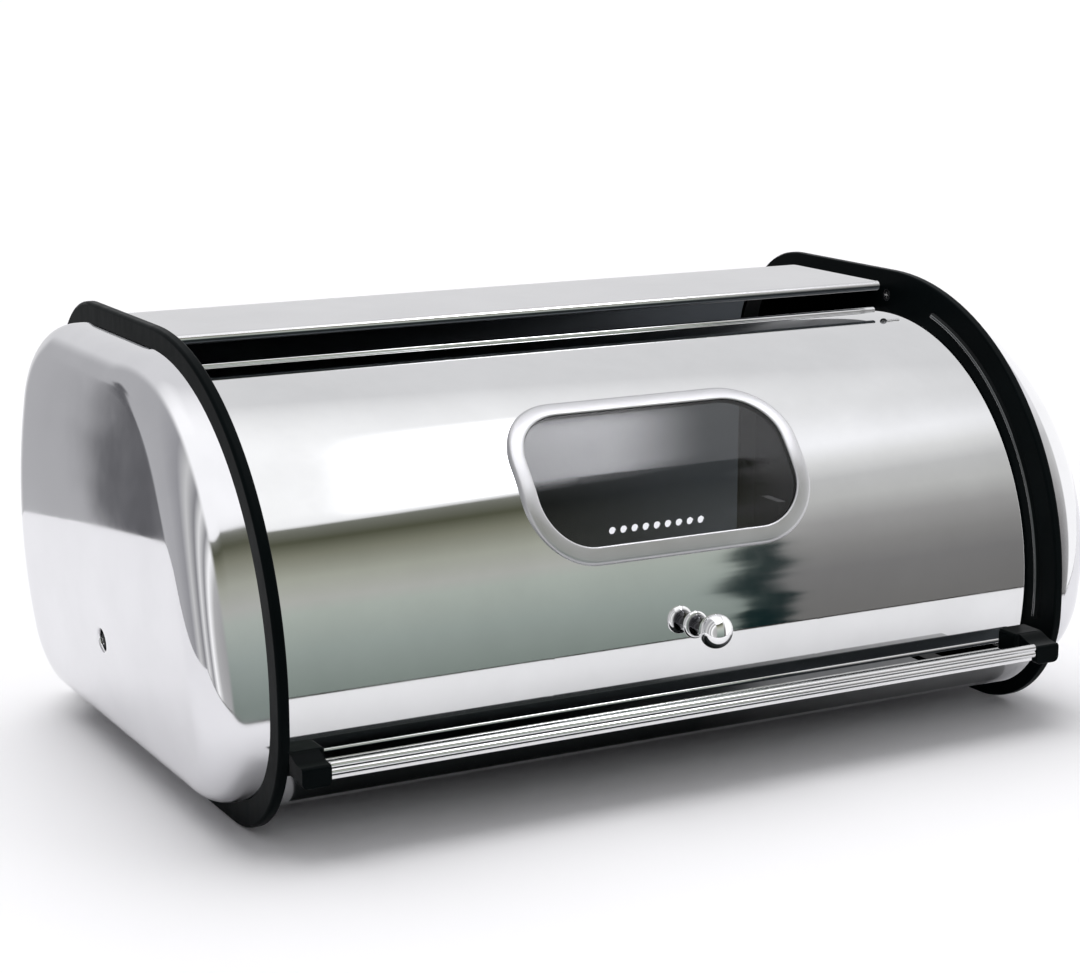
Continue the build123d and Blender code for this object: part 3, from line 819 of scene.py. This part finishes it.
world = bpy.data.worlds.new("studio")
world.use_nodes = True
bpy.context.scene.world = world
sky = world.node_tree
sky_place = sky.nodes.new("ShaderNodeTexCoord")
sky_split = sky.nodes.new("ShaderNodeSeparateXYZ")
sky.links.new(sky_place.outputs["Generated"], sky_split.inputs["Vector"])


def grey(level, blue=1.0):
    """Neutral colour, with a little more or less blue."""
    return (level, level, level * blue)


def sky_ramp(stops, axis="Z"):
    """Colour along one axis of the studio's directions, from stops of (place, colour)."""
    shift = sky.nodes.new("ShaderNodeMapRange")
    shift.inputs["From Min"].default_value = -1.0
    shift.inputs["From Max"].default_value = 1.0
    sky.links.new(sky_split.outputs[axis], shift.inputs["Value"])
    ramp = sky.nodes.new("ShaderNodeValToRGB")
    elements = ramp.color_ramp.elements
    while len(elements) > 1:
        elements.remove(elements[-1])
    elements[0].position = (stops[0][0] + 1) / 2
    elements[0].color = (*stops[0][1], 1)
    for place, colour in stops[1:]:
        stop = elements.new((place + 1) / 2)
        stop.color = (*colour, 1)
    sky.links.new(shift.outputs["Result"], ramp.inputs["Fac"])
    return ramp.outputs["Color"]


def sky_fill(colour):
    """One even colour in all directions."""
    return sky_ramp([(-1.0, colour), (1.0, colour)])


def sky_span(value, start, end):
    """Smooth 0 to 1 along an axis, given by its name, or along another value."""
    span = sky.nodes.new("ShaderNodeMapRange")
    span.interpolation_type = "SMOOTHSTEP"
    span.inputs["From Min"].default_value = start
    span.inputs["From Max"].default_value = end
    if isinstance(value, str):
        value = sky_split.outputs[value]
    sky.links.new(value, span.inputs["Value"])
    return span.outputs["Result"]


def sky_blend(factor, first, second):
    """Mixes two colours of the studio by a factor."""
    node = sky.nodes.new("ShaderNodeMix")
    node.data_type = "RGBA"
    sky.links.new(factor, node.inputs["Factor"])
    sky.links.new(first, node.inputs["A"])
    sky.links.new(second, node.inputs["B"])
    return node.outputs["Result"]


def sky_product(*factors):
    """Product of factors."""
    total = factors[0]
    for factor in factors[1:]:
        node = sky.nodes.new("ShaderNodeMath")
        node.operation = "MULTIPLY"
        sky.links.new(total, node.inputs[0])
        sky.links.new(factor, node.inputs[1])
        total = node.outputs["Value"]
    return total


def sky_sum(value, share, other):
    """A share of a value, added to another value."""
    node = sky.nodes.new("ShaderNodeMath")
    node.operation = "MULTIPLY_ADD"
    node.inputs[1].default_value = share
    sky.links.new(value, node.inputs[0])
    sky.links.new(other, node.inputs[2])
    return node.outputs["Value"]


# Walls: sage under a dark line and white over it in front, grey to white on the right, pale
# behind, and in bands on the left
front_sky = sky_ramp([
    (-0.6, (0.17, 0.20, 0.182)), (-0.3, (0.255, 0.300, 0.275)), (-0.1, (0.335, 0.385, 0.357)),
    (0.0, (0.377, 0.431, 0.40)), (0.26, (0.495, 0.543, 0.495)), (0.34, (0.536, 0.543, 0.508)),
    (0.48, (0.462, 0.476, 0.407)), (0.61, (0.254, 0.258, 0.199)), (0.682, (0.096, 0.10, 0.066)),
    (0.742, (0.22, 0.225, 0.195)), (0.752, (1.15, 1.15, 1.16)), (0.80, (1.25, 1.25, 1.26)),
])
right_sky = sky_ramp([
    (-0.3, (0.20, 0.195, 0.19)), (0.05, (0.235, 0.23, 0.23)), (0.2, (0.30, 0.295, 0.29)),
    (0.36, (0.41, 0.405, 0.40)), (0.5, (0.62, 0.62, 0.61)), (0.6, (0.66, 0.66, 0.66)),
    (0.68, (0.92, 0.92, 0.92)), (0.75, (1.22, 1.22, 1.25)), (0.8, (1.27, 1.27, 1.30)),
])
back_sky = sky_ramp([
    (-0.2, (0.78, 0.78, 0.79)), (0.2, (0.80, 0.80, 0.815)), (0.77, (0.84, 0.84, 0.855)),
    (0.95, (1.3, 1.3, 1.31)),
])
left_sky = sky_ramp([
    (-1.0, grey(0.42)), (-0.8, grey(0.55)), (-0.68, grey(1.25)), (-0.57, grey(0.34, 1.04)),
    (-0.43, grey(0.95)), (-0.3, grey(0.30, 1.05)), (-0.08, grey(0.72)), (0.15, grey(0.38, 1.05)),
    (0.55, grey(0.50, 1.03)), (0.95, grey(0.52, 1.03)),
], "Y")
front_to_back, right_to_back = (-0.25, 0.25), (-0.40, 0.0)
front_to_right, front_to_left = (0.541, 0.561), (-0.12, -0.30)

# The lines of the studio waver a little in the rolled sheet
sky_waver = sky.nodes.new("ShaderNodeTexNoise")
sky_waver.inputs["Scale"].default_value = 9.0
sky.links.new(sky_place.outputs["Generated"], sky_waver.inputs["Vector"])
across = sky_sum(sky_waver.outputs["Fac"], 0.03, sky_split.outputs["X"])
leaning = sky_sum(sky_split.outputs["Z"], 0.2, across)

front = sky_blend(sky_span("Y", *front_to_back), front_sky, back_sky)
right = sky_blend(sky_span("Y", *right_to_back), right_sky, back_sky)
studio = sky_blend(sky_span(across, *front_to_right), front, right)
studio = sky_blend(sky_span("X", *front_to_left), studio, left_sky)

# Dark shape that the left cap mirrors
dark_shape = sky_product(
    sky_span(leaning, -0.341, -0.347), sky_span(leaning, -0.400, -0.378),
    sky_span("Z", -0.24, -0.20), sky_span("Z", 0.20, 0.12), sky_span("Y", 0.6, 0.8),
)
studio = sky_blend(dark_shape, studio, sky_fill(grey(0.125, 1.08)))

# Dark doorway that the lid mirrors right of the knob
doorway = sky_product(
    sky_span(across, 0.537, 0.540), sky_span(across, 0.559, 0.555), sky_span("Z", 0.34, 0.26),
    sky_span("Y", 0.0, -0.1),
)
studio = sky_blend(doorway, studio, sky_fill((0.006, 0.02, 0.021)))

# Bright window that the lid and the pane mirror, and white far to the right
key_window = sky_product(
    sky_span("X", 0.38, 0.48), sky_span("X", 0.525, 0.485), sky_span("Y", 0.15, -0.05),
    sky_span("Z", 0.752, 0.795),
)
studio = sky_blend(key_window, studio, sky_fill(grey(7.5, 1.03)))
studio = sky_blend(sky_span("X", 0.655, 0.70), studio, sky_fill(grey(1.25)))

# Dull surfaces are lit from above, and the backdrop is plain
down_light = sky_ramp([
    (0.0, grey(0.10, 1.03)), (0.3, grey(0.20, 1.03)), (0.7, grey(0.58, 1.01)),
    (1.0, grey(0.76, 1.01)),
])
ray_kind = sky.nodes.new("ShaderNodeLightPath")
studio = sky_blend(ray_kind.outputs["Is Diffuse Ray"], studio, down_light)
studio = sky_blend(ray_kind.outputs["Is Camera Ray"], studio, sky_fill(grey(0.98)))
sky.links.new(studio, sky.nodes["Background"].inputs["Color"])
sky.nodes["Background"].inputs["Strength"].default_value = 1.0


# Camera, at the photo's viewing angle

camera_tilt, camera_turn = 12.4, -28.3

camera_data = bpy.data.cameras.new("camera")
camera_data.sensor_width = 36.0
camera_data.lens = 82.97
camera = bpy.data.objects.new("camera", camera_data)
camera.location = (-0.51855, pivot_y - 0.9506, 0.33856)
camera.rotation_euler = (math.radians(90 - camera_tilt), 0, math.radians(camera_turn))
bpy.context.scene.collection.objects.link(camera)
bpy.context.scene.camera = camera
bpy.context.scene.view_settings.view_transform = "Standard"
